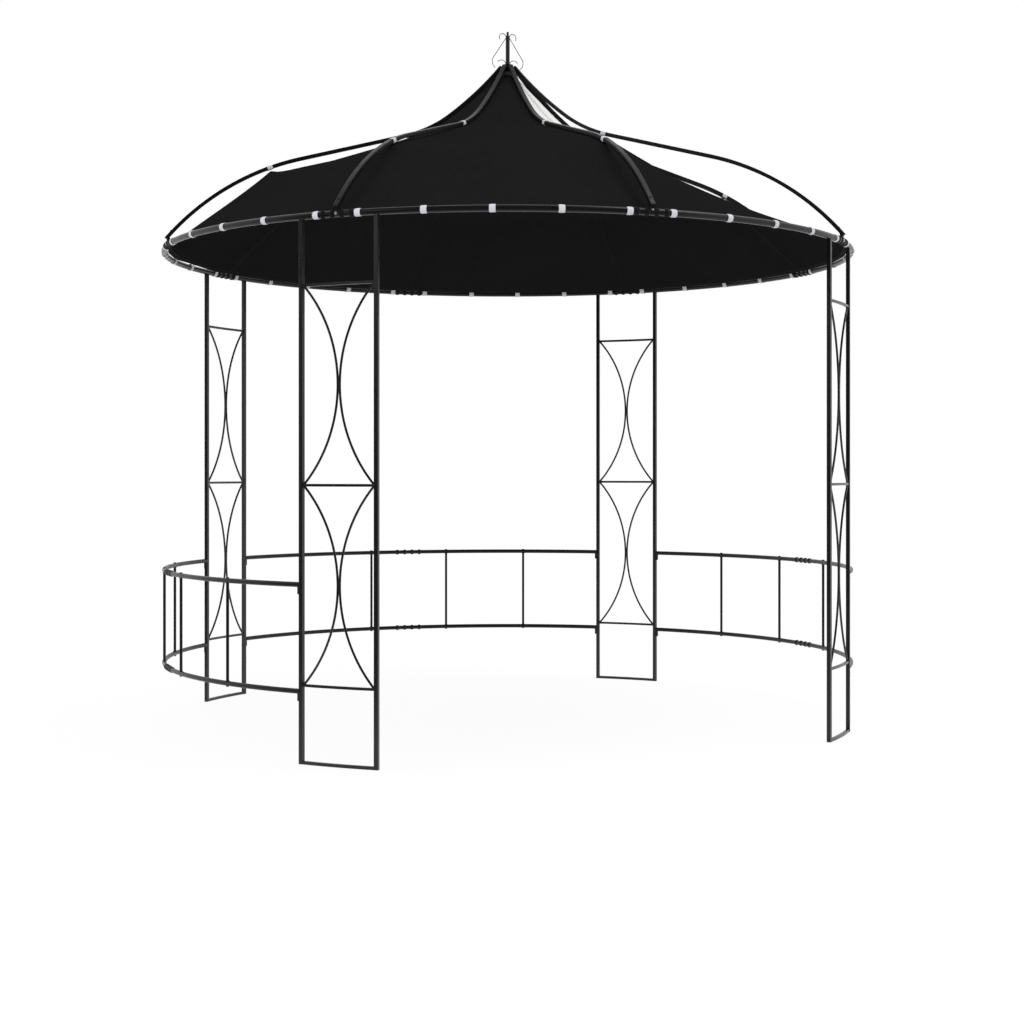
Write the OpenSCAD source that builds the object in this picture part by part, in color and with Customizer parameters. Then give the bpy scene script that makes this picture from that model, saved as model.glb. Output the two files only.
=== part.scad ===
// Round garden gazebo: eight curved roof ribs, four lattice posts, an eaves ring,
// three curved railings, an open front bay and a cloth roof hung under the ribs.
// Millimetres. Z up. The axis of the gazebo is at x = 0, y = 0 and the ground at z = 0.
// The open bay faces -Y.

/* [Overall] */
// Outside diameter of the eaves ring
roof_w = 3000; // [2400:10:3600]
// Height of the middle of the eaves ring
eaves_h = 2014; // [1800:1:2300]

/* [Posts] */
// Side of the square legs
leg_w = 16; // [12:0.5:25]
// Middle of one leg to the middle of the other in a post
post_w = 314; // [220:1:380]
// Side of the square cross bars
cross_w = 10; // [8:0.5:14]
// Side of the square bar on the ground
foot_w = 12; // [8:0.5:16]
// Height of the lower cross bar
low_bar_h = 290; // [200:1:400]
// Height of the middle cross bar
mid_bar_h = 1026; // [900:1:1150]
// Height of the upper cross bar
top_bar_h = 1760; // [1600:1:1880]
// Diameter of the bowed rods between the legs
rod_d = 9; // [6:0.5:12]

/* [Eaves ring] */
// Diameter of the ring tube
ring_d = 25; // [19:0.5:32]
// Spacing of the beads on a joint
bead_gap = 39.5; // [30:0.5:50]
// How far a joint runs on past its outer beads
joint_spare = 2.65; // [1:0.05:10]
// Diameter of the beads on the ring
ring_bead_d = 32; // [28:0.5:34]

/* [Railings] */
// Height of the middle of the top rail
rail_h = 660; // [550:1:800]
// Height of the middle of the bottom rail
base_rail_h = 267; // [180:1:330]
// Diameter of the rails
rail_d = 19; // [14:0.5:25]
// Diameter of the upright bars
bar_d = 12; // [8:0.5:16]
// Angle between neighbouring upright bars
bar_step = 15.7; // [12:0.1:17]
// Diameter of the beads on the rails
rail_bead_d = 26; // [22:0.5:32]

/* [Ribs] */
// Width of a rib across the roof
rib_w = 20; // [14:0.5:26]
// Thickness of a rib
rib_t = 15; // [10:0.5:20]
// How far the foot of a rib stands outside the middle of the ring
foot_out = 12.5; // [6:0.5:20]
// How far the foot of a rib stands above the middle of the ring
foot_up = 22; // [18:0.5:30]
// Slope of a rib at its foot
slope_foot = 50; // [40:0.5:60]
// Slope of the straight middle of a rib
slope_mid = 15.5; // [10:0.5:25]
// Slope where the two inner bends meet
slope_in = 38; // [30:0.5:45]
// Radius of the outer bend
bend_out = 1130; // [800:5:1400]
// Radius of the first inner bend
bend_in = 600; // [400:5:800]
// Radius of the second inner bend
bend_top = 1600; // [1400:10:2500]
// Distance from the axis to the start of the inner bend
bend_at = 480; // [400:5:600]

/* [Top] */
// Diameter of the hub
hub_d = 60; // [54:1:80]
// Height of the hub without the plate on top
hub_t = 20; // [16:1:24]
// Diameter of the plate on the hub
plate_d = 48; // [36:1:52]
// Thickness of the plate on the hub
plate_t = 14; // [8:1:20]
// Diameter of the pole on the plate
pole_d = 18; // [12:0.5:24]
// Height of the pole above the plate
pole_h = 146; // [100:1:200]
// Diameter of the scroll wire
wire_d = 3; // [2.5:0.25:6]

/* [Cloth roof] */
// Thickness of the cloth roof solid
cloth_t = 6; // [4:0.5:10]
// Gap from the inside of the ring tube to the hem of the cloth
hem_gap = 3; // [2:0.5:60]
// Height of the hem above the middle of the ring tube
hem_up = 7; // [0:0.5:15]
// Drop of the cloth below a rib where it is strapped
strap_drop = 0.6; // [0.3:0.1:5]
// Distance from the axis to the lower straps on the ribs
strap_low = 1068; // [900:1:1200]
// Distance from the axis to the upper straps on the ribs
strap_high = 455; // [380:1:520]
// Radius of the hole in the cloth under the hub
cloth_hole = 22; // [15:1:40]
// How far the cloth sags under a rib between its straps
cloth_sag = 16; // [0:1:40]

/* [Hidden] */
fine = 240;
mid = 60;
ring_r = (roof_w - ring_d) / 2;
half_ang = asin(post_w / 2 / ring_r);
joint_z = mid_bar_h + cross_w / 2;
bead_ang = bead_gap / ring_r * 180 / PI;
// Half the length of a joint in the ring, as an angle.
joint_half = (1.5 * bead_gap + ring_bead_d / 2 + joint_spare) / ring_r * 180 / PI;
rail_end = 45 - half_ang + 0.3;
// The places where the bends of a rib meet, as distance from the axis and height.
foot_r = ring_r + foot_out;
foot_z = eaves_h + foot_up;
p1_r = foot_r - bend_out * (sin(slope_foot) - sin(slope_mid));
p1_z = foot_z + bend_out * (cos(slope_mid) - cos(slope_foot));
p2_z = p1_z + (p1_r - bend_at) * tan(slope_mid);
p3_r = bend_at - bend_in * (sin(slope_in) - sin(slope_mid));
p3_z = p2_z + bend_in * (cos(slope_mid) - cos(slope_in));
end_r = hub_d / 2 + 2.5;
slope_end = asin(sin(slope_in) + (p3_r - end_r) / bend_top);
hub_z = rib_z(end_r) - 2 - hub_t;
top_z = hub_z + hub_t + plate_t;

// Height of the middle line of a rib at a distance r from the axis.
function rib_z(r) = r > p1_r ? foot_z + bend_out * (cos(asin(sin(slope_foot) - (foot_r - r) / bend_out)) - cos(slope_foot))
    : r > bend_at ? p1_z + (p1_r - r) * tan(slope_mid)
    : r > p3_r ? p2_z + bend_in * (cos(slope_mid) - cos(asin(sin(slope_mid) + (bend_at - r) / bend_in)))
    : p3_z + bend_top * (cos(slope_in) - cos(asin(sin(slope_in) + (p3_r - r) / bend_top)));

// Slope of a rib at a distance r from the axis.
function rib_slope(r) = r > p1_r ? asin(sin(slope_foot) - (foot_r - r) / bend_out)
    : r > bend_at ? slope_mid
    : r > p3_r ? asin(sin(slope_mid) + (bend_at - r) / bend_in)
    : asin(sin(slope_in) + (p3_r - r) / bend_top);

// A tube bent round the axis of the gazebo.
module round_arc(r, z, d, a0, a1) {
    translate([0, 0, z])
        rotate([0, 0, a0])
            rotate_extrude(angle = a1 - a0, $fn = fine)
                translate([r, 0])
                    circle(d = d, $fn = mid);
}

// A square bar bent round the axis of the gazebo.
module square_arc(r, z, w, a0, a1) {
    translate([0, 0, z])
        rotate([0, 0, a0])
            rotate_extrude(angle = a1 - a0, $fn = fine)
                translate([r, 0])
                    square([w, w], center = true);
}

// An upright square leg at the angle a.
module leg(a, z0, z1) {
    rotate([0, 0, a])
        translate([ring_r - leg_w / 2, -leg_w / 2, z0])
            cube([leg_w, leg_w, z1 - z0]);
}

// One bowed rod in the plane of the post: it touches its twin half way up.
// It belongs to the leg on the side s and its ends are at z0 and z1.
module bowed_rod(s, z0, z1) {
    half = (z1 - z0) / 2;
    reach = post_w / 2 - leg_w / 2 - rod_d / 2;
    rad = (half * half + reach * reach) / (2 * reach);
    ang = asin(half / rad);
    plane_r = ring_r * cos(half_ang);
    translate([plane_r, s * (rod_d / 2 - 0.15 + rad), (z0 + z1) / 2])
        rotate([90, 0, 90])
            rotate([0, 0, s > 0 ? 180 - ang : -ang])
                rotate_extrude(angle = 2 * ang, $fn = fine)
                    translate([rad, 0])
                        circle(d = rod_d, $fn = 24);
}

// Two bowed rods, back to back.
module rod_pair(z0, z1) {
    bowed_rod(1, z0, z1);
    bowed_rod(-1, z0, z1);
}

// The lower half of a post: two legs, three cross bars and a pair of rods.
module post_lower(a) {
    color([0.16, 0.17, 0.18])
        rotate([0, 0, a]) {
            leg(-half_ang, 0, joint_z);
            leg(half_ang, 0, joint_z);
            square_arc(ring_r, foot_w / 2, foot_w, -half_ang, half_ang);
            square_arc(ring_r, low_bar_h, cross_w, -half_ang, half_ang);
            square_arc(ring_r, mid_bar_h, cross_w, -half_ang, half_ang);
            rod_pair(low_bar_h, mid_bar_h);
        }
}

// The upper half of a post: its legs stand on the lower half and carry the ring.
module post_upper(a) {
    color([0.16, 0.17, 0.18])
        difference() {
            rotate([0, 0, a]) {
                leg(-half_ang, joint_z, eaves_h);
                leg(half_ang, joint_z, eaves_h);
                square_arc(ring_r, top_bar_h, cross_w, -half_ang, half_ang);
                intersection() {
                    rod_pair(mid_bar_h, top_bar_h);
                    translate([0, -post_w, joint_z])
                        cube([2 * ring_r, 2 * post_w, eaves_h - joint_z]);
                }
            }
            round_arc(ring_r, eaves_h, ring_d, a - 15, a + 15);
        }
}

// One tube of the eaves ring, from the joint at a to the next joint.
module ring_tube(a) {
    color([0.2, 0.21, 0.22])
        round_arc(ring_r, eaves_h, ring_d, a + joint_half, a + 45 - joint_half);
}

// Points along one side of a rib, which lies the distance off above its middle line.
function rib_side(off) = concat(
    [for (i = [0:24]) let (f = slope_foot + (slope_mid - slope_foot) * i / 24)
        [foot_r - bend_out * sin(slope_foot) + (bend_out + off) * sin(f),
            foot_z - bend_out * cos(slope_foot) + (bend_out + off) * cos(f)]],
    [for (i = [0:14]) let (f = slope_mid + (slope_in - slope_mid) * i / 14)
        [bend_at + bend_in * sin(slope_mid) - (bend_in - off) * sin(f),
            p2_z + bend_in * cos(slope_mid) - (bend_in - off) * cos(f)]],
    [for (i = [1:8]) let (f = slope_in + (slope_end - slope_in) * i / 8)
        [p3_r + bend_top * sin(slope_in) - (bend_top - off) * sin(f),
            p3_z + bend_top * cos(slope_in) - (bend_top - off) * cos(f)]]);
function turned(v) = [for (i = [len(v) - 1:-1:0]) v[i]];

// A bar bent like a rib, w wide, from low to high above its middle line, in the plane y = 0.
module rib_bar(w, low, high) {
    rotate([90, 0, 0])
        translate([0, 0, -w / 2])
            linear_extrude(w)
                polygon(concat(rib_side(high), turned(rib_side(low))));
}

// A rib at the angle a. Its end is square, with the lower corner cut back to the hub,
// and a rib too wide to stand beside its neighbours there is mitred to its eighth.
module rib(a) {
    color([0.18, 0.19, 0.2])
        rotate([0, 0, a])
            difference() {
                rib_bar(rib_w, -rib_t / 2, rib_t / 2);
                translate([0, 0, hub_z - 30])
                    cylinder(d = hub_d, h = hub_t + 30, $fn = 96);
                for (s = [-1, 1])
                    rotate([0, 0, s * (22.5 - 0.3)])
                        translate([-100, s > 0 ? 0 : -100, hub_z - 60])
                            cube([100 + rib_w * 2, 100, hub_t + 160]);
            }
}

// A joint in the ring under the foot of a rib: a plug with four beads and a lug
// whose top follows the underside of the rib.
module ring_joint(a) {
    color([0.14, 0.15, 0.16])
        rotate([0, 0, a]) {
            round_arc(ring_r, eaves_h, ring_d, -joint_half, joint_half);
            for (k = [-1.5, -0.5, 0.5, 1.5])
                rotate([0, 0, k * bead_ang])
                    translate([ring_r, 0, eaves_h])
                        sphere(d = ring_bead_d, $fn = 40);
            difference() {
                translate([foot_r - 14, -13, eaves_h])
                    cube([10, 26, 40]);
                rib_bar(40, -rib_t / 2, 60);
            }
        }
}

// Half of a railing. It reaches from the middle of the bay, which is at the angle a,
// to the post on the side s. The half with s = 1 carries the joints.
module railing_half(a, s) {
    j = joint_half;
    color([0.15, 0.16, 0.17])
        rotate([0, 0, a])
            difference() {
                union() {
                    for (z = [base_rail_h, rail_h]) {
                        if (s > 0) {
                            round_arc(ring_r, z, rail_d, -j, rail_end);
                            for (k = [-1.5, -0.5, 0.5, 1.5])
                                rotate([0, 0, k * bead_ang])
                                    translate([ring_r, 0, z])
                                        sphere(d = rail_bead_d, $fn = 40);
                        } else {
                            round_arc(ring_r, z, rail_d, -rail_end, -j);
                        }
                        // the lug under the end of the rail
                        rotate([0, 0, s * (45 - half_ang)])
                            translate([ring_r - 6, s > 0 ? -leg_w / 2 - 8 : leg_w / 2 - 4, z - rail_d / 2 - 26])
                                cube([12, 12, 30]);
                    }
                    for (k = [0.5, 1.5])
                        rotate([0, 0, s * k * bar_step])
                            translate([ring_r, 0, base_rail_h - rail_d / 2 - 3])
                                cylinder(d = bar_d, h = rail_h - base_rail_h + rail_d + 6, $fn = 48);
                }
                leg(s * (45 - half_ang), 0, joint_z);
                // nothing of the railing reaches into the post
                rotate([0, 0, s * (45 - half_ang)])
                    translate([ring_r - 40, s > 0 ? -leg_w / 2 : leg_w / 2 - 40, 0])
                        cube([80, 40, joint_z]);
            }
}

// The hub that the eight ribs meet, with the plate on top.
module roof_hub() {
    color([0.12, 0.13, 0.14])
        translate([0, 0, hub_z]) {
            cylinder(d = hub_d, h = hub_t, $fn = 96);
            translate([0, 0, hub_t - 1])
                cylinder(d = plate_d, h = plate_t + 1, $fn = 96);
        }
}

// A bent piece of the scroll wire in the plane y = 0, round the point c.
module wire_bend(c, rad, a0, a1) {
    translate([c[0], 0, c[1]])
        rotate([90, 0, 0])
            rotate([0, 0, a0])
                rotate_extrude(angle = a1 - a0, $fn = 72)
                    translate([rad, 0])
                        circle(d = wire_d, $fn = 24);
}

// A straight piece of the scroll wire that runs on from a bend at its angle a,
// forward for a positive length and back for a negative one, with a bead of weld.
module wire_on(c, rad, a, len) {
    translate([c[0], 0, c[1]])
        rotate([90, 0, 0])
            rotate([0, 0, a])
                translate([rad, 0, 0]) {
                    sphere(d = wire_d + 0.5, $fn = 24);
                    rotate([len > 0 ? -90 : 90, 0, 0])
                        cylinder(d = wire_d, h = abs(len), $fn = 24);
                }
}

// The wire scrolls on one side of the pole.
module scroll() {
    // hook at the top
    hook = [pole_d / 2 + 14.5, pole_h - 23];
    wire_bend(hook, 15, 0, 178);
    wire_on(hook, 15, 0, -13);
    // long wire, bent in at the bottom
    belly = [pole_d / 2 + 30.5, 12.4];
    wire_bend(belly, 33, -56, 33.5);
    wire_on(belly, 33, 33.5, 107);
    // small hook above the plate
    wire_bend([pole_d / 2 + 20, 0.3], 20.5, 30, 172);
}

// The pole on the plate, with its pointed tip and two wire scrolls.
module finial() {
    color([0.15, 0.16, 0.17])
        translate([0, 0, top_z]) {
            cylinder(d = pole_d, h = pole_h - 22, $fn = 48);
            translate([0, 0, pole_h - 22])
                cylinder(d1 = pole_d, d2 = pole_d * 0.55, h = 10, $fn = 48);
            translate([0, 0, pole_h - 12])
                cylinder(d = pole_d * 0.55, h = 12, $fn = 48);
            scroll();
            mirror([1, 0, 0])
                scroll();
        }
}

// Distances from the axis of the rows of points on the cloth, under a rib.
hem_r = ring_r - ring_d / 2 - hem_gap;
cloth_r = [hem_r, hem_r - (hem_r - strap_low) / 3, hem_r - 2 * (hem_r - strap_low) / 3, strap_low,
    strap_low - (strap_low - strap_high) / 3, strap_low - 2 * (strap_low - strap_high) / 3, strap_high,
    400, 340, 290, 240, 140, 60, cloth_hole];
// The height of the cloth a gap below the underside of a rib.
function below(r, gap) = rib_z(r) - rib_t / 2 / cos(rib_slope(r)) - gap;
low_z = below(strap_low, strap_drop);
high_z = below(strap_high, strap_drop);
hem_z = eaves_h + hem_up;
cloth_z = [hem_z, hem_z + (low_z - hem_z) / 3, hem_z + 2 * (low_z - hem_z) / 3, low_z,
    low_z + (high_z - low_z) / 3 - cloth_sag, low_z + 2 * (high_z - low_z) / 3 - cloth_sag, high_z,
    below(400, 2.2), below(340, 2.2), below(290, 2.2), below(240, 2.5), below(140, 5), below(60, 15),
    below(cloth_hole, 35)];
// How round the cloth is between two ribs, from 1 at the hem to 0 where it is pulled straight.
cloth_round = [1, 0.5, 0.15, 0, 0, 0, 0, 0, 0, 0, 0, 0, 0, 0.6];
rows = len(cloth_r);
steps = 4;
cols = 8 * steps;
// At the front right rib only the upper strap holds the cloth. Everywhere else it is loose there
// and lies on the line between its neighbours, or falls straight from the strap to that line.
function slack_r(k) = let (low = cos(45) * cloth_r[3]) k == 0 ? cloth_r[0]
    : k < 3 ? cloth_r[0] + (low - cloth_r[0]) * k / 3
    : k < 7 ? low + (cloth_r[6] - low) * (k - 3) / 3 : cos(45) * cloth_r[k];
function rib_point(k, i) = let (a = 45 * i, loose = i % 8 == 7, r = loose ? slack_r(k) : cloth_r[k])
    [r * cos(a), r * sin(a), cloth_z[k] + (loose && (k == 4 || k == 5) ? cloth_sag : 0)];
function lie(k, j) = let (i = floor(j / steps), f = (j % steps) / steps,
    flat = rib_point(k, i) * (1 - f) + rib_point(k, i + 1) * f,
    a = 45 * (i + f), bow = [cloth_r[k] * cos(a), cloth_r[k] * sin(a), flat[2]],
    w = cloth_round[k]) flat * (1 - w) + bow * w;
function inside(p) = let (t = cloth_t * 0.7, n = norm([p[0], p[1]]))
    [p[0] * (n - t) / n, p[1] * (n - t) / n, p[2] - t];
cloth_points = concat([for (k = [0:rows - 1], j = [0:cols - 1]) lie(k, j)],
    [for (k = [0:rows - 1], j = [0:cols - 1]) inside(lie(k, j))]);
n_out = rows * cols;
function at(k, j) = k * cols + (j % cols);
cloth_faces = concat(
    [for (k = [0:rows - 2], j = [0:cols - 1]) [at(k, j), at(k + 1, j), at(k + 1, j + 1)]],
    [for (k = [0:rows - 2], j = [0:cols - 1]) [at(k, j), at(k + 1, j + 1), at(k, j + 1)]],
    [for (k = [0:rows - 2], j = [0:cols - 1]) [n_out + at(k, j), n_out + at(k + 1, j + 1), n_out + at(k + 1, j)]],
    [for (k = [0:rows - 2], j = [0:cols - 1]) [n_out + at(k, j), n_out + at(k, j + 1), n_out + at(k + 1, j + 1)]],
    [for (j = [0:cols - 1]) [at(0, j), at(0, j + 1), n_out + at(0, j + 1)]],
    [for (j = [0:cols - 1]) [at(0, j), n_out + at(0, j + 1), n_out + at(0, j)]],
    [for (j = [0:cols - 1]) [at(rows - 1, j), n_out + at(rows - 1, j + 1), at(rows - 1, j + 1)]],
    [for (j = [0:cols - 1]) [at(rows - 1, j), n_out + at(rows - 1, j), n_out + at(rows - 1, j + 1)]]);

// The cloth roof: a thin shell under the ribs, open below and with a small hole at the top.
module canopy() {
    color([0.1, 0.1, 0.1])
        polyhedron(points = cloth_points, faces = cloth_faces, convexity = 6);
}

post_lower(225);  // front_left_post_lower
post_upper(225);  // front_left_post_upper
post_lower(315);  // front_right_post_lower
post_upper(315);  // front_right_post_upper
post_lower(45);  // back_right_post_lower
post_upper(45);  // back_right_post_upper
post_lower(135);  // back_left_post_lower
post_upper(135);  // back_left_post_upper
ring_tube(270);  // ring_right_of_front
ring_tube(315);  // ring_front_of_right
ring_tube(0);  // ring_back_of_right
ring_tube(45);  // ring_right_of_back
ring_tube(90);  // ring_left_of_back
ring_tube(135);  // ring_back_of_left
ring_tube(180);  // ring_front_of_left
ring_tube(225);  // ring_left_of_front
ring_joint(0);  // ring_joint_right
ring_joint(45);  // ring_joint_back_right
ring_joint(90);  // ring_joint_back
ring_joint(135);  // ring_joint_back_left
ring_joint(180);  // ring_joint_left
ring_joint(225);  // ring_joint_front_left
ring_joint(270);  // ring_joint_front
ring_joint(315);  // ring_joint_front_right
rib(0);  // rib_right
rib(45);  // rib_back_right
rib(90);  // rib_back
rib(135);  // rib_back_left
rib(180);  // rib_left
rib(225);  // rib_front_left
rib(270);  // rib_front
rib(315);  // rib_front_right
railing_half(0, -1);  // right_railing_front_half
railing_half(0, 1);  // right_railing_back_half
railing_half(90, -1);  // back_railing_right_half
railing_half(90, 1);  // back_railing_left_half
railing_half(180, -1);  // left_railing_back_half
railing_half(180, 1);  // left_railing_front_half
roof_hub();
finial();
canopy();
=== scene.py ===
import bpy
import numpy as np
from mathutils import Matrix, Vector


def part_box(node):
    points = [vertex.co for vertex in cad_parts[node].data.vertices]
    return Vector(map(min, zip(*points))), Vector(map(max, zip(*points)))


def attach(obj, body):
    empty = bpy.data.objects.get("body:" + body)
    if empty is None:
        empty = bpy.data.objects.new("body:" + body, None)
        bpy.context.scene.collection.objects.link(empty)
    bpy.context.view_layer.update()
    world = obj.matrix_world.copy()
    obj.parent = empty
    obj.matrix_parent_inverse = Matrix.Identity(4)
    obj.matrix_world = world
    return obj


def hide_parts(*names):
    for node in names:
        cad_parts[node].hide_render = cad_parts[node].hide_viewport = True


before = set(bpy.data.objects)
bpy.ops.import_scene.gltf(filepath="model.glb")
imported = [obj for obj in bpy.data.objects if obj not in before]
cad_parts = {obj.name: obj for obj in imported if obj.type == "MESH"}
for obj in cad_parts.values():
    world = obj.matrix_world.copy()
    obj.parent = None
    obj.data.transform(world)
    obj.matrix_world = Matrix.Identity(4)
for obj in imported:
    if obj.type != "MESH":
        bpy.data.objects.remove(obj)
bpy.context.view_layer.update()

# ---------------------------------------------------------------- sizes of the gazebo, in metres and degrees
LEG = 0.016                                     # side of a square leg
POST = 0.314                                    # from leg to leg in a post, middle to middle
RIB_WIDE = 0.020                                # a rib's section, across
RIB_THICK = 0.015                               # a rib's section, up and down
FOOT_OUT = 0.0125                               # a rib's foot, outwards from the ring's middle line
FOOT_UP = 0.022                                 # a rib's foot, upwards from the ring's middle line
FOOT_SLOPE = 50.0                               # slope of a rib at its foot
LONG_SLOPE = 15.5                               # slope of a rib's long straight part
NECK_SLOPE = 38.0                               # slope of a rib where its neck passes into the hub's arc
EAVES_ARC = 1.130                               # radius of a rib's arc over the eaves
NECK_ARC = 0.600                                # radius of a rib's hollow arc at the neck
HUB_ARC = 1.600                                 # radius of a rib's hollow arc up to the hub
NECK_AT = 0.480                                 # distance from the axis where the neck starts

ring_low, ring_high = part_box("ring_back_of_right")
TUBE = (ring_high.z - ring_low.z) / 2           # radius of the ring tube
EAVES = (ring_high.z + ring_low.z) / 2          # height of the ring's middle line
# Radius of the ring's middle line: the outermost point of a rib's foot, less how far that stands outside.
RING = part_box("rib_right")[1].x - FOOT_OUT - RIB_THICK / 2 * np.sin(np.radians(FOOT_SLOPE))
HALF = np.degrees(np.arcsin(POST / 2 / RING))   # angle from the middle of a post to its leg

CROSS_BARS = (0.290, 1.026, 1.760)              # heights of the cross bars of a post
RAILS = (0.267, 0.660)                          # heights of the two rails of a railing
RAIL_BAYS = (0, 90, 180)                        # angles of the bays that have a railing
RAIL = 0.0095                                   # radius of a rail
BAR_STEP = 15.7                                 # angle between the upright bars of a railing

CLOTH = 0.0012                                  # thickness of the cloth
LOWER_STRAP = 1.068                             # distance of a rib's lower strap from the axis
UPPER_STRAP = 0.455                             # distance of a rib's upper strap from the axis
HEM = RING - TUBE - 0.0015                      # radius of the hem, just inside the ring tube
HEM_Z = EAVES + 0.006                           # height of the hem
HOLE = 0.022                                    # radius of the hole at the top of the cloth
# Places of the ring straps in a bay, from the rib on its right, and the usual step between them.
STRAPS = np.array([3.35, 13.0, 22.5, 32.0, 41.65])
STRAP_STEP = 9.5
# Sag of the cloth under each rib between its straps, from the right rib round to the front right one.
SAG = np.array([0.015, 0.016, 0.018, 0.020, 0.0295, 0.011, 0.002, 0.0])
# How the sag grows outwards from a rib's upper strap: as the share of the way to this power.
HUG = np.array([1.5, 0.7, 0.7, 0.7, 0.7, 0.7, 2.0, 1.0])
LOOSE = 7                                       # the front right rib, where only the upper strap holds

STRAP_WIDE = 0.0235                             # width of the webbing
RING_STRAP_THICK = 0.0016                       # thickness of a ring strap
RIB_STRAP_THICK = 0.0014                        # thickness of a rib strap

UP = np.array([0.0, 0.0, 1.0])
BAY = 45.0                                      # angle from rib to rib
BAY_CELLS = 64                                  # cells of the cloth round one bay
ROUND_CELLS = 8 * BAY_CELLS                     # cells of the cloth all the way round
LOOP_CELLS = 64                                 # cells along a strap
LOOP_SIDES = 14                                 # cells round a strap's section
TAPE_SIDES = 12                                 # cells round a tape's section
HEAD_SIDES = 24                                 # cells round a bolt or screw head
BEAD_CELLS = 28                                 # cells along a weld bead
BEAD_SIDES = 10                                 # cells round a weld bead's section


# ---------------------------------------------------------------- mesh helpers
def cells(rows, cols, wrap_rows=False, wrap_cols=False):
    """Faces of a grid of points: cell (i, j) joins (i, j), (i, j+1), (i+1, j+1), (i+1, j).
    The second array holds each corner's own row and column, not wrapped, for its UV."""
    i, j = np.meshgrid(np.arange(rows if wrap_rows else rows - 1),
                       np.arange(cols if wrap_cols else cols - 1), indexing="ij")
    i, j = i.ravel(), j.ravel()
    corners = np.stack([np.stack([i, j], 1), np.stack([i, j + 1], 1),
                        np.stack([i + 1, j + 1], 1), np.stack([i + 1, j], 1)], 1)
    return (corners[..., 0] % rows) * cols + corners[..., 1] % cols, corners


def plain_mesh(name, points, faces, finish):
    """Makes an object of points (..., 3) and faces (m, 4) at the origin."""
    mesh = bpy.data.meshes.new(name)
    mesh.from_pydata(np.asarray(points, float).reshape(-1, 3).tolist(), [], faces.tolist())
    mesh.materials.append(finish)
    thing = bpy.data.objects.new(name, mesh)
    bpy.context.scene.collection.objects.link(thing)
    return thing


def piece(name, points, faces, finish, uv):
    """Makes a smooth piece of the gazebo, with a UV for each corner (m, 4, 2), in metres on cloth."""
    thing = plain_mesh(name, points, faces, finish)
    mesh = thing.data
    layer = mesh.uv_layers.new(name="UVMap")
    layer.data.foreach_set("uv", np.asarray(uv, np.float32).ravel())
    mesh.polygons.foreach_set("use_smooth", np.ones(len(faces), bool))
    mesh.update()
    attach(thing, "root")
    return thing


def copies(name, grids, faces, finish, uv):
    """Makes one piece of grids of equal size: the faces of copy k are those of copy 0 plus k times the
    number of points in one copy."""
    starts = np.arange(len(grids)) * (grids[0].size // 3)
    every = (faces[None] + starts[:, None, None]).reshape(-1, 4)
    return piece(name, np.stack(grids), every, finish, uv)


def polar(r, a, z):
    """Points at distance r from the axis, angle a in degrees and height z."""
    a = np.radians(a)
    return np.stack(np.broadcast_arrays(r * np.cos(a), r * np.sin(a), z), -1)


def unit(vectors):
    """The vectors, each divided by its length."""
    return vectors / np.linalg.norm(vectors, axis=-1, keepdims=True)


def square_to(axes):
    """Two directions for each axis, square to it and to each other: the cross product of a helper with
    the axis, and that of the axis with the first direction."""
    helper = np.where(np.abs(axes[:, 2:3]) > 0.9, [[1.0, 0, 0]], [[0, 0, 1.0]])
    x = unit(np.cross(helper, axes))
    return x, np.cross(axes, x)


def rounded_box(t, wide, thick, side_power, face_power):
    """A rounded rectangle at angles t: the cosine and sine, each to a power below 1, keeping its sign."""
    return (np.sign(np.cos(t)) * np.abs(np.cos(t)) ** side_power * wide / 2,
            np.sign(np.sin(t)) * np.abs(np.sin(t)) ** face_power * thick / 2)


def circle(count):
    """Angles of a whole turn in equal steps, without the last one, which is the first again."""
    return np.linspace(0, 2 * np.pi, count, endpoint=False)


# ---------------------------------------------------------------- the line of a rib
def rib_line(r):
    """Height and slope (radians) of a rib's middle line at distance r from the axis.
    Four parts: an arc that flattens over the eaves, a straight slope, and two hollow arcs that steepen
    to the hub. On an arc of radius R the sine of the slope changes by dr / R."""
    foot_r = RING + FOOT_OUT
    foot_z = EAVES + FOOT_UP
    foot, long, neck = np.radians([FOOT_SLOPE, LONG_SLOPE, NECK_SLOPE])
    long_r = foot_r - EAVES_ARC * (np.sin(foot) - np.sin(long))
    long_z = foot_z + EAVES_ARC * (np.cos(long) - np.cos(foot))
    neck_z = long_z + (long_r - NECK_AT) * np.tan(long)
    hub_r = NECK_AT - NECK_ARC * (np.sin(neck) - np.sin(long))
    hub_z = neck_z + NECK_ARC * (np.cos(long) - np.cos(neck))
    r = np.asarray(r, float)
    at_eaves = np.arcsin(np.clip(np.sin(foot) - (foot_r - r) / EAVES_ARC, -1, 1))
    at_neck = np.arcsin(np.clip(np.sin(long) + (NECK_AT - r) / NECK_ARC, -1, 1))
    at_hub = np.arcsin(np.clip(np.sin(neck) + (hub_r - r) / HUB_ARC, -1, 1))
    parts = [r > long_r, r > NECK_AT, r > hub_r]
    z = np.select(parts,
                  [foot_z + EAVES_ARC * (np.cos(at_eaves) - np.cos(foot)),
                   long_z + (long_r - r) * np.tan(long),
                   neck_z + NECK_ARC * (np.cos(long) - np.cos(at_neck))],
                  hub_z + HUB_ARC * (np.cos(neck) - np.cos(at_hub)))
    return z, np.select(parts, [at_eaves, long + 0 * r, at_neck], at_hub)


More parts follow.
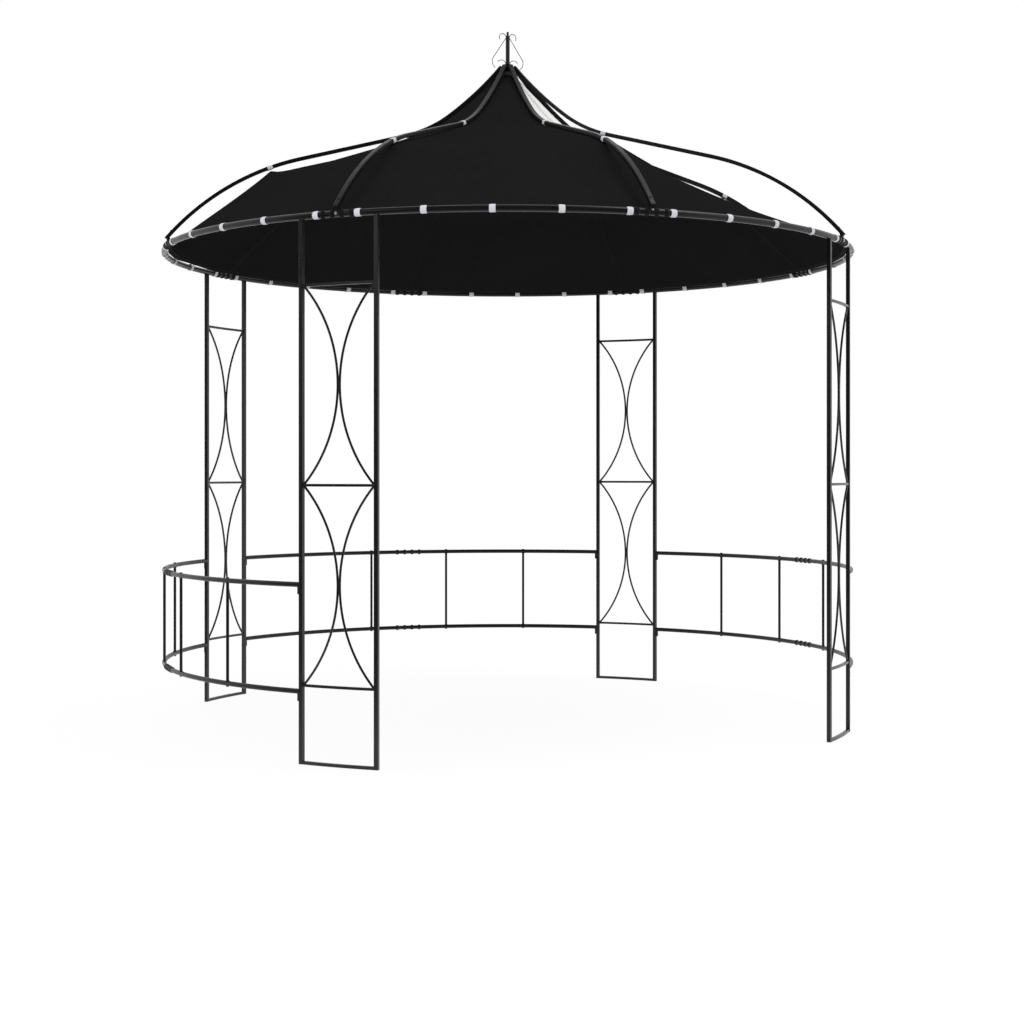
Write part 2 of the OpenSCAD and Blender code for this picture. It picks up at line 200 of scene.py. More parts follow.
def rib_under(r):
    """Height of the cloth's crease where it lies against a rib, before it is rounded: 0.4 mm above the
    rib's underside, and 2.8 mm lower at a strap, over about 25 mm, for the strap and half of the
    cloth."""
    crease, strap_drop, strap_reach = 0.0004, 0.0028, 0.025
    z, slope = rib_line(r)
    strap = (np.exp(-((r - LOWER_STRAP) / strap_reach) ** 2)
             + np.exp(-((r - UPPER_STRAP) / strap_reach) ** 2))
    return z - RIB_THICK / 2 / np.cos(slope) + crease - strap_drop * strap


# ---------------------------------------------------------------- the cloth roof
def ridge(i, q):
    """Radius, height and strap pull of the cloth under rib i. q is 0 at the hem, 1 at the lower
    strap, 2 at the upper strap and 3 at the hole. From 0 to 1 the cloth is a nearly straight slope,
    bowed up by a sine. From 1 to 2 it hangs below the rib by its sag, times a power of the share of
    the way from the upper strap. From 2 to 3 it drops away from the rib by two powers of the share of
    the way into the neck. The pull is what lifts it back to the rib at the lower strap: the sag times
    exp(-distance / length)."""
    bow = 0.003                         # rise of the slope's middle
    neck = 0.150                        # distance from the axis where the drop starts
    gentle, steep = 0.015, 0.019        # the drop at the hole, in its two powers
    outwards, inwards = 0.120, 0.035    # lengths over which the pull of a strap fades
    r = np.interp(q, [0, 1, 2, 3], [HEM, LOWER_STRAP, UPPER_STRAP, HOLE])
    sag = SAG[i % 8]
    hug = HUG[i % 8]
    full_sag_after = 0.350 if hug < 1 else 0.550
    share = np.clip((r - UPPER_STRAP) / full_sag_after, 0, 1) ** hug
    slope = HEM_Z + (rib_under(LOWER_STRAP) - sag - HEM_Z) * q + bow * np.sin(np.pi * q)
    near = np.clip((neck - r) / (neck - HOLE), 0, 1)
    drop = gentle * near + steep * near ** 4
    z = np.select([q <= 1, q <= 2], [slope, rib_under(r) - sag * share], rib_under(r) - drop)
    far = r - LOWER_STRAP
    pull = sag * np.where(far > 0, np.exp(-far / outwards), np.exp(far / inwards))
    return r, z, np.where(r > UPPER_STRAP, pull, 0)


def loose_ridge(q):
    """Radius, height and strap pull of the cloth under the front right rib, as in ridge. Below the
    upper strap it falls straight to a point between its neighbours' lower straps, 12.5 mm under them,
    and on to the hem with a sag that is a sine. Above that strap it comes back to the line between its
    neighbours as exp(-distance / 60 mm), and out to the edge of the hole at the end."""
    below, sag, fade, throat, over = 0.0125, 0.014, 0.060, 0.100, 0.0012
    r, z, _ = ridge(LOOSE - 1, q)
    _, z_next, _ = ridge(LOOSE + 1, q)
    middle = (z + z_next) / 2
    half = np.cos(np.radians(BAY))
    low = rib_under(LOWER_STRAP) - below
    high = rib_under(UPPER_STRAP)
    at = np.interp(q, [0, 1, 2], [HEM, half * LOWER_STRAP, UPPER_STRAP])
    up = np.interp(q, [0, 1, 2], [HEM_Z, low, high])
    back = np.exp(-np.clip(UPPER_STRAP - r, 0, 1) / fade)
    inner = np.clip((throat - r) / (throat - HOLE), 0, 1)
    reach = np.where(q <= 2, at, half * r + (1 - half) * (UPPER_STRAP * back + r * inner))
    height = np.where(q <= 2, up, middle + over * back)
    return reach, height - sag * np.sin(np.pi * np.clip(q, 0, 1)), 0 * q


def hem_wave(a):
    """0 at a ring strap and about 1 midway to the next one: sin(pi * share of the way), times the
    length of the way in usual steps."""
    edges = np.concatenate([[STRAPS[-1] - BAY], STRAPS, [STRAPS[0] + BAY]])
    inside = np.mod(a, BAY)
    k = np.clip(np.searchsorted(edges, inside, side="right") - 1, 0, len(edges) - 2)
    span = edges[k + 1] - edges[k]
    return np.sin(np.pi * (inside - edges[k]) / span) * span / STRAP_STEP


def between(start, end, f):
    """Straight lines from the values at one rib to those at the next, at the share f of the way."""
    return start.T * (1 - f) + end.T * f


def cloth_surface(q, a):
    """Points of the cloth at rows q (see ridge) and angles a in degrees, as an array (rows, angles, 3).
    Between two ribs it is a straight line from ridge to ridge, bent out to the ring's circle near the
    hem and to the hole's circle at the top, sunk by a sine across the bay, lifted by the pull of each
    strap over about 90 mm, drawn in between the ring straps and at the ring joints, and crossed by
    shallow folds that run up from the straps and down from the hub."""
    q, a = np.asarray(q, float), np.mod(np.asarray(a, float), 360.0)
    ribs = [loose_ridge(q) if i % 8 == LOOSE else ridge(i, q) for i in range(9)]
    r, z, pull = (np.stack([rib[k] for rib in ribs]) for k in range(3))
    rib_turn = np.radians(BAY * np.arange(9))
    c, s = np.cos(rib_turn), np.sin(rib_turn)
    x, y = r * c[:, None], r * s[:, None]
    start = np.minimum((a // BAY).astype(int), 7)
    end = start + 1
    f = (a / BAY - start)[None, :]
    px = between(x[start], x[end], f)
    py = between(y[start], y[end], f)
    pz = between(z[start], z[end], f)

    # Lifted by the straps, less and less away from their rib.
    lifted_over = 0.09
    width = np.hypot(x[end] - x[start], y[end] - y[start]).T
    from_start, from_end = f * width, (1 - f) * width
    pz = pz + pull[start].T * np.exp(-from_start / lifted_over)
    pz = pz + pull[end].T * np.exp(-from_end / lifted_over)

    # Bent out to the circle of the hem, and most of the way to that of the hole.
    throat, most = 0.060, 0.7
    rr, row, angle = ridge(0, q)[0][:, None], q[:, None], a[None, :]
    bow = np.clip(1 - row, 0, 1) ** 1.5 * HEM + most * np.clip((throat - rr) / (throat - HOLE), 0, 1) * rr
    turn = np.radians(angle)
    px = px + bow * (np.cos(turn) - between(c[start], c[end], f))
    py = py + bow * (np.sin(turn) - between(s[start], s[end], f))

    # Sunk across the bay: in full from one row to some rows before the hole, less and less beyond them.
    sunk, from_row, rows_before = 0.009, 0.8, 1.4
    middle = np.clip(np.minimum(row / from_row, (3 - row) / rows_before), 0, 1)
    pz = pz - sunk * np.sin(np.pi * f) * middle

    # Drawn in and lifted at the hem, between its straps, at the joints and in one slack place.
    hem_reach, joint_reach, slack_at, slack_reach = 0.07, 2.4, 148.5, 6.5
    from_hem = HEM - rr
    near_hem = np.exp(-from_hem / hem_reach)
    wave = hem_wave(angle)
    at_joint = np.exp(-((np.mod(angle + BAY / 2, BAY) - BAY / 2) / joint_reach) ** 2)
    slack = np.exp(-((angle - slack_at) / slack_reach) ** 2)
    out = -(0.0025 * wave + 0.0038 * at_joint + 0.0030 * slack) * near_hem
    lift = (0.0008 * wave + 0.0065 * slack) * near_hem

    # Folds up from the straps, 24 gathers down from the hub, and long shallow waves in the bays.
    fold_length, fold_start = 0.30, 0.05
    gathers, gathers_from, gathers_over, flat_rim = 24, 0.16, 0.12, 0.01
    fold = 0.0016 * np.cos(np.pi * wave)
    fold = fold * np.exp(-from_hem / fold_length) * np.clip(from_hem / fold_start, 0, 1)
    gather = 0.0012 * np.cos(np.radians(angle * gathers)) * np.clip((gathers_from - rr) / gathers_over, 0, 1)
    gather = gather * np.clip((rr - HOLE) / flat_rim, 0, 1)
    drift = (0.0016 * np.sin(np.radians(3 * angle) + 7 * rr)
             + 0.0012 * np.sin(np.radians(11 * angle) - 9 * rr)
             + 0.0010 * np.cos(np.radians(17 * angle) + 23 * rr)) * middle
    drift = drift + 0.0009 * np.sin(26 * px + 9 * py) * np.cos(21 * py - 6 * px) * middle
    still_within = 0.05
    drift = drift * np.clip(1 - np.exp(-from_start / still_within) - np.exp(-from_end / still_within), 0, 1)
    along = np.hypot(px, py)
    px, py = px * (1 + out / along), py * (1 + out / along)
    return np.stack([px, py, pz + lift + fold + gather + drift], -1)


def normals_of(points):
    """Unit normals of a grid that closes along its second side: the cross product of the differences
    round it and down it, turned to point up."""
    down = np.gradient(points, axis=0)
    round_it = np.roll(points, -1, 1) - np.roll(points, 1, 1)
    n = unit(np.cross(round_it, down))
    return n * np.sign(n[..., 2:3] + 1e-12)


def softened(points):
    """Rounds the crease under each rib a little: each point takes (1, 4, 6, 4, 1) / 16 of its
    neighbours round the roof. At a lower strap this moves the crease 5 mm inwards and up to 3.5 mm
    down."""
    shares = zip((-2, -1, 0, 1, 2), (1, 4, 6, 4, 1))
    return sum(share * np.roll(points, step, 1) for step, share in shares) / 16


ROWS = np.concatenate([np.linspace(0, 1, 22)[:-1], np.linspace(1, 2, 26)[:-1], np.linspace(2, 3, 24)])
TURNS = np.arange(ROUND_CELLS) * 360 / ROUND_CELLS


def paler(roof):
    """Marks the cloth above the upper straps, from the front rib to the right one, with the attribute
    pale: 1 inside and 0 outside, with soft borders."""
    strap_row, border_rows = 2.02, 0.02
    front_rib, right_rib, border = 270.3, 359.7, 0.5
    q, a = np.broadcast_arrays(ROWS[:, None], TURNS[None])
    above = np.clip((q - strap_row) / border_rows, 0, 1)
    past_front_rib = np.clip((a - front_rib) / border, 0, 1)
    before_right_rib = np.clip((right_rib - a) / border, 0, 1)
    pale = (above * past_front_rib * before_right_rib).ravel()
    layer = roof.data.attributes.new("pale", "FLOAT", "POINT")
    layer.data.foreach_set("value", np.concatenate([pale, 0 * pale]).astype(np.float32))


def make_cloth(middle, n, finish):
    """The roof as one closed thin shell: the surface half a thickness up and half a thickness down
    its normals, joined at the hem and at the hole. Its UV is in metres in each bay: across from the
    bay's middle, and up along a rib."""
    rows, cols = middle.shape[:2]
    points = np.stack([middle + n * CLOTH / 2, middle - n * CLOTH / 2])
    faces, corners = cells(rows, cols, wrap_cols=True)
    under = rows * cols
    top = (rows - 1) * cols
    j = np.arange(cols)
    k = (j + 1) % cols
    hem = np.stack([k, j, under + j, under + k], 1)
    hole = np.stack([top + j, top + k, under + top + k, under + top + j], 1)
    every = np.concatenate([faces, under + faces[:, ::-1], hem, hole])

    bay_shift, edge_step = 2, 0.0177
    up = np.concatenate([[0], np.cumsum(np.linalg.norm(np.diff(middle[:, 0], axis=0), axis=1))])
    row, col = corners[..., 0], corners[..., 1]
    bay = col[:, :1] // BAY_CELLS
    share = (col - bay * BAY_CELLS) / BAY_CELLS
    width = 2 * np.linalg.norm(middle[:, 0, :2], axis=1) * np.sin(np.radians(BAY / 2))
    uv = np.stack([(share - 0.5) * width[row] + bay_shift * bay, up[row]], -1)
    edge = np.zeros((cols, 4, 2))
    edge[..., 0] = np.stack([k, j, j, k], 1) * edge_step
    roof = piece("canopy_cloth", points, every, finish,
                 np.concatenate([uv, uv[:, ::-1], edge, edge]))
    paler(roof)
    return roof


def tape(line, across, n, wide, thick, closed):
    """Points, faces and UV of a flat tape sewn on the cloth: a rounded rectangle, wide by thick,
    carried along a line with its width along across and its thickness along n."""
    u, v = rounded_box(circle(TAPE_SIDES), wide, thick, 0.5, 0.5)
    grid = line[:, None] + across[:, None] * u[None, :, None] + n[:, None] * v[None, :, None]
    faces, corners = cells(len(line), TAPE_SIDES, wrap_rows=closed, wrap_cols=True)
    steps = np.linalg.norm(np.diff(np.concatenate([line, line[:1]]), axis=0), axis=1)
    length = np.concatenate([[0], np.cumsum(steps)])
    round_it = np.concatenate([u, u[:1]])
    return grid, faces, np.stack([length[corners[..., 0]], round_it[corners[..., 1]]], -1)


def edge_tape(edge, inside, n, back, wide, thick):
    """A tape folded over an edge of the cloth, its middle line at the distance back from the edge."""
    outwards = unit(edge - inside)
    return tape(edge - outwards * back, outwards, n, wide, thick, True)


def seam_tape(middle, n, j):
    """A tape under the cloth along the rib at column j. Near the hole it is narrower, in proportion to
    the distance from the axis."""
    wide, thick, stand_off, narrower_within, narrowest = 0.0200, 0.0009, 0.0004, 0.12, 0.25
    line = middle[1:-1, j] - n[1:-1, j] * (CLOTH / 2 + stand_off)
    across = unit(middle[1:-1, (j + 1) % ROUND_CELLS] - middle[1:-1, j - 1])
    narrow = np.clip(np.linalg.norm(line[:, :2], axis=1) / narrower_within, narrowest, 1)[:, None]
    return tape(line, across * narrow, n[1:-1, j], wide, thick, False)


# ---------------------------------------------------------------- straps
def belt(far, big, small):
    """A closed belt round two circles in a plane: one of radius big at the origin and one of radius
    small at the point far. Two arcs and their two tangents, spaced evenly along the length."""
    span, turn = np.hypot(*far), np.arctan2(far[1], far[0])
    gap = np.arccos((big - small) / span)
    on_big = np.linspace(turn + gap, turn + 2 * np.pi - gap, 80)
    on_small = np.linspace(turn - gap, turn + gap, 40)
    line = np.concatenate([big * np.stack([np.cos(on_big), np.sin(on_big)], 1),
                           far + small * np.stack([np.cos(on_small), np.sin(on_small)], 1)])
    line = np.concatenate([line, line[:1]])
    length = np.concatenate([[0], np.cumsum(np.linalg.norm(np.diff(line, axis=0), axis=1))])
    at = np.linspace(0, length[-1], LOOP_CELLS, endpoint=False)
    return np.stack([np.interp(at, length, line[:, 0]), np.interp(at, length, line[:, 1])], 1)


def loop_of(line, origin, x, y, across, thick):
    """A strap that follows a closed line in the plane of x and y: a rounded rectangle, its width along
    across and its thickness along the line's own outward normal, with a slight crown over its width."""
    step = unit(np.roll(line, -1, 0) - np.roll(line, 1, 0))
    out = np.stack([step[:, 1], -step[:, 0]], 1)
    u, v = rounded_box(circle(LOOP_SIDES), STRAP_WIDE, thick, 0.45, 0.6)
    crown = 0.0007
    v = v - crown * (2 * u / STRAP_WIDE) ** 2
    flat = line[:, None] + out[:, None] * v[None, :, None]
    return origin + flat[..., :1] * x + flat[..., 1:] * y + u[None, :, None] * across


def ring_strap(a, lean):
    """A loop at angle a round the ring tube and the hem of the cloth, leaning by a share of its width.
    It is a belt round the tube and round a small circle just outside the hem."""
    round_tube, round_hem = TUBE + 0.0018, 0.0058
    out_of_hem, under_hem = 0.0040, 0.0010
    spot = cloth_surface([0.0], [a])[0, 0]
    far = np.array([np.hypot(spot[0], spot[1]) - RING + out_of_hem, spot[2] - EAVES - under_hem])
    out = polar(1.0, a, 0.0)
    side = polar(1.0, a + 90, 0.0) + lean * UP
    line = belt(far, round_tube, round_hem)
    return loop_of(line, polar(RING, a, EAVES), out, UP, side, RING_STRAP_THICK)


def rib_strap(i, r):
    """A loop round rib i at distance r from the axis, close to the rib and square to its slope."""
    room_beside, room_over = 0.0012, 0.0010
    z, slope = rib_line(r)
    out, side = polar(1.0, BAY * i, 0.0), polar(1.0, BAY * i + 90, 0.0)
    up = out * np.sin(slope) + UP * np.cos(slope)
    along = -out * np.cos(slope) + UP * np.sin(slope)
    u, v = rounded_box(np.pi / 2 - circle(LOOP_CELLS),
                       RIB_WIDE + 2 * room_beside, RIB_THICK + 2 * room_over, 0.45, 0.45)
    return loop_of(np.stack([u, v], 1), polar(r, BAY * i, z), side, up, along, RIB_STRAP_THICK)


def make_straps(finish):
    """White webbing: five loops in each bay round the ring tube and the hem, and two on each rib,
    between the rib and the cloth. The loose rib has only its upper one."""
    rng = np.random.default_rng(5)
    astray, leaning = 0.1, 0.03
    grids = []
    for bay in range(8):
        for offset in STRAPS:
            a = bay * BAY + offset + rng.uniform(-astray, astray)
            grids.append(ring_strap(a, rng.uniform(-leaning, leaning)))
    for i in range(8):
        if i != LOOSE:
            grids.append(rib_strap(i, LOWER_STRAP))
        grids.append(rib_strap(i, UPPER_STRAP))
    faces, corners = cells(LOOP_CELLS, LOOP_SIDES, wrap_rows=True, wrap_cols=True)
    step, half_way = 0.0021, LOOP_SIDES / 2
    over = np.abs(corners[..., 1] % LOOP_SIDES - half_way) / half_way * STRAP_WIDE
    uv = np.stack([corners[..., 0] * step, over], -1)[:, ::-1]
    return copies("cloth_straps", grids, faces[:, ::-1], finish, np.tile(uv, (len(grids), 1, 1)))


# ---------------------------------------------------------------- bolts, screws and welds
def make_heads(name, profile, places, axes, finish):
    """Copies of a turned head: the profile's (radius, height) carried round each axis at its place."""
    profile, places, axes = (np.asarray(v, float) for v in (profile, places, axes))
    axes = unit(axes)
    x, y = square_to(axes)
    t = circle(HEAD_SIDES)[:, None]
    reach = np.cos(t) * x[:, None, None] + np.sin(t) * y[:, None, None]
    grid = (places[:, None, None] + profile[None, :, None, :1] * reach
            + profile[None, :, None, 1:] * axes[:, None, None])
    faces, corners = cells(len(profile), HEAD_SIDES, wrap_cols=True)
    uv = np.tile(corners[..., ::-1] * np.array([1 / HEAD_SIDES, 0.1]), (len(places), 1, 1))
    return copies(name, grid, faces, finish, uv)


def make_welds(finish):
    """Weld beads: small rings, their thickness varied by 18 percent with seven waves round the ring,
    where cross bars and rods meet the legs and where upright bars meet the rails."""
    at_legs, at_rails, thick, uneven, waves = 0.0058, 0.0066, 0.0017, 0.18, 7
    rail_face = RAIL - 0.0005
    places, axes, radii = [], [], []
    edge = HALF - np.degrees(LEG / 2 / RING)
    for post in (45, 135, 225, 315):
        for z in CROSS_BARS:
            for s in (-1, 1):
                places.append(polar(RING, post + s * edge, z))
                axes.append(polar(1.0, post + s * edge + 90, 0.0))
                radii.append(at_legs)
    for bay in RAIL_BAYS:
        for k in (-1.5, -0.5, 0.5, 1.5):
            for z in (RAILS[0] + rail_face, RAILS[1] - rail_face):
                places.append(polar(RING, bay + k * BAR_STEP, z))
                axes.append(UP)
                radii.append(at_rails)
    places, axes, radii = np.array(places), np.array(axes), np.array(radii)
    x, y = square_to(axes)
    t, v = circle(BEAD_CELLS)[:, None], circle(BEAD_SIDES)
    thick = thick * (1 + uneven * np.sin(waves * t))
    reach = radii[:, None, None] + thick[None] * np.cos(v)
    round_it = np.cos(t)[..., None] * x[:, None, None] + np.sin(t)[..., None] * y[:, None, None]
    grid = (places[:, None, None] + reach[..., None] * round_it
            + (thick * np.sin(v))[None, ..., None] * axes[:, None, None])
    faces, corners = cells(BEAD_CELLS, BEAD_SIDES, wrap_rows=True, wrap_cols=True)
    uv = np.tile(corners * 0.01, (len(places), 1, 1))
    return copies("weld_beads", grid, faces, finish, uv)


# ---------------------------------------------------------------- finishes
class Finish:
    """A node material with helpers to add and join nodes."""

    def __init__(self, name):
        """A new material of this name, its shader at hand."""
        self.material = bpy.data.materials.new(name)
        self.material.use_nodes = True
        self.tree = self.material.node_tree
        self.shader = self.tree.nodes["Principled BSDF"]

    def node(self, kind, **values):
        """A new node: each value goes to the input of that name, or else to the setting of that name."""
        made = self.tree.nodes.new(kind)
        for key, value in values.items():
            if key in made.inputs:
                made.inputs[key].default_value = value
            else:
                setattr(made, key, value)
        return made

    def join(self, a, b):
        """Links socket a to socket b."""
        self.tree.links.new(a, b)

    def give(self, **sockets):
        """Links sockets to the shader's inputs, an underscore standing for a space."""
        for key, socket in sockets.items():
            self.join(socket, self.shader.inputs[key.replace("_", " ")])

    def set(self, **values):
        """Sets values on the shader's inputs, an underscore standing for a space."""
        for key, value in values.items():
            self.shader.inputs[key.replace("_", " ")].default_value = value

    def place(self, kind):
        """Texture coordinates: Object or UV, both in metres here."""
        return self.node("ShaderNodeTexCoord").outputs[kind]

    def ramp(self, source, low, high, new_low, new_high):
        """Maps low..high of the source to new_low..new_high, held at both ends."""
        made = self.tree.nodes.new("ShaderNodeMapRange")
        ends = zip(("From Min", "From Max", "To Min", "To Max"), (low, high, new_low, new_high))
        for key, value in ends:
            made.inputs[key].default_value = value
        self.join(source, made.inputs["Value"])
        return made.outputs["Result"]

    def spread(self, noise, new_low, new_high):
        """Maps the part of a noise's range that it mostly keeps to, 0.3 to 0.7, to new_low..new_high."""
        return self.ramp(noise, 0.3, 0.7, new_low, new_high)

    def mixed(self, share, a, b):
        """Colour a where share is 0 and b where it is 1."""
        made = self.tree.nodes.new("ShaderNodeMix")
        made.data_type = "RGBA"
        self.join(share, made.inputs["Factor"])
        for socket, value in ((made.inputs[6], a), (made.inputs[7], b)):
            if isinstance(value, tuple):
                socket.default_value = (*value, 1)
            else:
                self.join(value, socket)
        return made.outputs[2]

    def math(self, operation, *terms):
        """The result of a math operation on sockets and numbers."""
        made = self.node("ShaderNodeMath", operation=operation)
        for socket, term in zip(made.inputs, terms):
            if isinstance(term, float):
                socket.default_value = term
            else:
                self.join(term, socket)
        return made.outputs["Value"]

    def length(self, vector):
        """The length of a vector."""
        made = self.node("ShaderNodeVectorMath", operation="LENGTH")
        self.join(vector, made.inputs[0])
        return made.outputs["Value"]

    def noise(self, where, scale, detail=2.0):
        """Soft noise, its grains 1 / scale across."""
        made = self.node("ShaderNodeTexNoise", Scale=scale, Detail=detail)
        self.join(where, made.inputs["Vector"])
        return made.outputs["Fac"]

    def bands(self, where, direction, scale, distortion=0.0, detail=2.0):
        """Waves pi / 10 / scale apart, or the root of two times that on the diagonal, as
        0.5 - 0.5 * cosine, their lines shaken by distortion."""
        made = self.node("ShaderNodeTexWave", bands_direction=direction,
                         Scale=scale, Distortion=distortion, Detail=detail)
        self.join(where, made.inputs["Vector"])
        return made

    def bump(self, height, strength, distance, normal=None):
        """A normal bent by a height map, on top of another normal if there is one."""
        made = self.node("ShaderNodeBump", Strength=strength, Distance=distance)
        self.join(height, made.inputs["Height"])
        if normal is not None:
            self.join(normal, made.inputs["Normal"])
        return made.outputs["Normal"]


def times(colour, factor):
    """A colour made lighter by a factor."""
    return tuple(part * factor for part in colour)


def off_the_tube(f, where):
    """Distance from the ring's middle line: the length of (distance from the axis - ring radius,
    height - height of the eaves)."""
    flat = f.node("ShaderNodeVectorMath", operation="MULTIPLY")
    flat.inputs[1].default_value = (1.0, 1.0, 0.0)
    f.join(where, flat.inputs[0])
    parts = f.node("ShaderNodeSeparateXYZ")
    f.join(where, parts.inputs[0])
    offset = f.node("ShaderNodeCombineXYZ")
    f.join(f.ramp(f.length(flat.outputs["Vector"]), RING - 1, RING + 1, -1.0, 1.0), offset.inputs["X"])
    f.join(f.ramp(parts.outputs["Z"], EAVES - 1, EAVES + 1, -1.0, 1.0), offset.inputs["Y"])
    return f.length(offset.outputs["Vector"])


def powder_coat(name, colour, rough, gloss, corner=0.0, dull_beads=False):
    """Baked black paint: fine orange peel of about 1.5 mm, soft clouds in colour and gloss and a few
    dusty specks. Corners are shaded as if rounded to the radius corner. With dull_beads, the paint
    turns rough where it stands 0.6 to 1.2 mm proud of the ring tube."""
    cloudy, dusty = 1.35, 2.2                                       # times the colour
    clouds, gloss_clouds, dust, peel = 6.0, 35.0, 420.0, 650.0      # grains to the metre
    f = Finish(name)
    where = f.place("Object")
    cloud = f.spread(f.noise(where, clouds, detail=3.0), 0.0, 1.0)
    base = f.mixed(cloud, colour, times(colour, cloudy))
    specks = f.ramp(f.noise(where, dust, detail=1.0), 0.70, 0.80, 0.0, 0.25)
    roughness = f.spread(f.noise(where, gloss_clouds, detail=3.0), rough - 0.05, rough + 0.07)
    if dull_beads:
        dull = f.ramp(off_the_tube(f, where), TUBE + 0.0006, TUBE + 0.0012, 0.0, 0.8)
        roughness = f.math("MAXIMUM", roughness, dull)
    soft = f.node("ShaderNodeBevel", samples=6, Radius=corner).outputs["Normal"] if corner else None
    f.give(Base_Color=f.mixed(specks, base, times(colour, dusty)),
           Normal=f.bump(f.noise(where, peel, detail=1.0), strength=0.22, distance=0.0004, normal=soft),
           Roughness=roughness)
    f.set(Specular_IOR_Level=gloss)
    return f.material


def woven_cloth(name):
    """Black woven cloth: threads 1.1 mm apart both ways as bump, slubs along the threads in colour,
    clouds in colour and roughness, and the pale part on both sides of the loose rib."""
    dark, dark_slub, dark_cloud = (0.0112, 0.0112, 0.0113), (0.0146, 0.0146, 0.0147), (0.0154, 0.0154, 0.0155)
    pale, pale_slub = (0.90, 0.90, 0.87), (0.96, 0.96, 0.94)
    weave, clouds = 284.0, 3.5
    along, across = 14.0, 230.0         # grains to the metre of a slub
    f = Finish(name)
    uv = f.place("UV")
    threads = []
    for direction in ("X", "Y"):
        wave = f.bands(uv, direction, weave, distortion=1.2, detail=1.0)
        wave.inputs["Detail Scale"].default_value = 0.8
        threads.append(wave.outputs["Fac"])
    slubs = []
    for stretch in ((along, across, 1.0), (across, along, 1.0)):
        long_grain = f.node("ShaderNodeMapping", Scale=stretch)
        f.join(uv, long_grain.inputs["Vector"])
        slubs.append(f.noise(long_grain.outputs["Vector"], 1.0))
    slub = f.ramp(f.math("ADD", *slubs), 0.75, 1.25, 0.0, 1.0)
    cloud = f.noise(uv, clouds, detail=3.0)
    black = f.mixed(f.spread(cloud, 0.0, 0.5), f.mixed(slub, dark, dark_slub), dark_cloud)
    beside_loose_rib = f.node("ShaderNodeAttribute", attribute_name="pale").outputs["Fac"]
    f.give(Base_Color=f.mixed(beside_loose_rib, black, f.mixed(slub, pale, pale_slub)),
           Normal=f.bump(f.math("MAXIMUM", *threads), strength=0.35, distance=0.00025),
           Roughness=f.spread(cloud, 0.78, 0.9))
    f.set(Specular_IOR_Level=0.0)
    return f.material


def binding_tape(name, colour):
    """Binding tape: ribs across it every 1.6 mm, and two rows of stitches 8 mm either side of its
    middle, each stitch 2.1 mm of every 3.5 mm: where the sine of 1800 times the length is over -0.3."""
    thread, slubby = 2.2, 1.4                           # times the colour
    ribs, slubs, stitches = 196.0, 180.0, 1800.0
    row_at, row_half, row_gap = 0.0080, 0.0006, -0.3
    f = Finish(name)
    uv = f.place("UV")
    wave = f.bands(uv, "X", ribs).outputs["Fac"]
    slub = f.noise(uv, slubs)
    base = f.mixed(f.spread(slub, 0.0, 1.0), colour, times(colour, slubby))
    parts = f.node("ShaderNodeSeparateXYZ")
    f.join(uv, parts.inputs[0])
    row = f.math("COMPARE", f.math("ABSOLUTE", parts.outputs["Y"]), row_at, row_half)
    dash = f.math("SINE", f.math("MULTIPLY", parts.outputs["X"], stitches))
    stitch = f.math("MULTIPLY", row, f.math("GREATER_THAN", dash, row_gap))
    f.give(Base_Color=f.mixed(stitch, base, times(colour, thread)),
           Normal=f.bump(wave, strength=0.3, distance=0.0002),
           Roughness=f.spread(slub, 0.8, 0.95))
    f.set(Specular_IOR_Level=0.03)
    return f.material


def webbing(name):
    """Pale lilac webbing: ribs across the strap every 2 mm, with painted shade that greys the grooves
    between them, a fine twill of 1.6 mm, and dirt in clouds."""
    # The third colour is painted shade, the grey of the grooves between the ribs.
    clean, dirty, painted_groove_shade = (0.84, 0.83, 0.90), (0.74, 0.73, 0.81), (0.50, 0.49, 0.60)
    rib_bands, twill_bands, dirt_grains = 157.0, 280.0, 60.0
    f = Finish(name)
    uv = f.place("UV")
    ribs = f.bands(uv, "X", rib_bands, distortion=0.8).outputs["Fac"]
    twill = f.bands(uv, "DIAGONAL", twill_bands).outputs["Fac"]
    dirt = f.ramp(f.noise(f.place("Object"), dirt_grains, detail=3.0), 0.35, 0.7, 0.0, 1.0)
    ribbed = f.bump(ribs, strength=0.4, distance=0.0003)
    # Painted shade: the grooves between the ribs turn up to half way to that grey.
    f.give(Base_Color=f.mixed(f.ramp(ribs, 0.0, 0.35, 0.5, 0.0), f.mixed(dirt, clean, dirty), painted_groove_shade),
           Normal=f.bump(twill, strength=0.2, distance=0.00015, normal=ribbed),
           Roughness=f.ramp(dirt, 0.0, 1.0, 0.7, 0.85))
    f.set(Specular_IOR_Level=0.3)
    return f.material


def zinc(name):
    """Bright zinc: crystals of about 2 mm in colour and gloss, with fine scratches as bump."""
    bright, grey = (0.78, 0.77, 0.74), (0.55, 0.55, 0.54)
    crystals_to_the_metre, scratches_to_the_metre = 500.0, 1500.0
    f = Finish(name)
    where = f.place("Object")
    crystals = f.node("ShaderNodeTexVoronoi", Scale=crystals_to_the_metre)
    f.join(where, crystals.inputs["Vector"])
    part = f.ramp(crystals.outputs["Distance"], 0.0, 0.8, 0.0, 1.0)
    f.give(Base_Color=f.mixed(part, bright, grey),
           Roughness=f.ramp(part, 0.0, 1.0, 0.28, 0.42),
           Normal=f.bump(f.noise(where, scratches_to_the_metre), strength=0.1, distance=0.0002))
    f.set(Metallic=1.0)
    return f.material


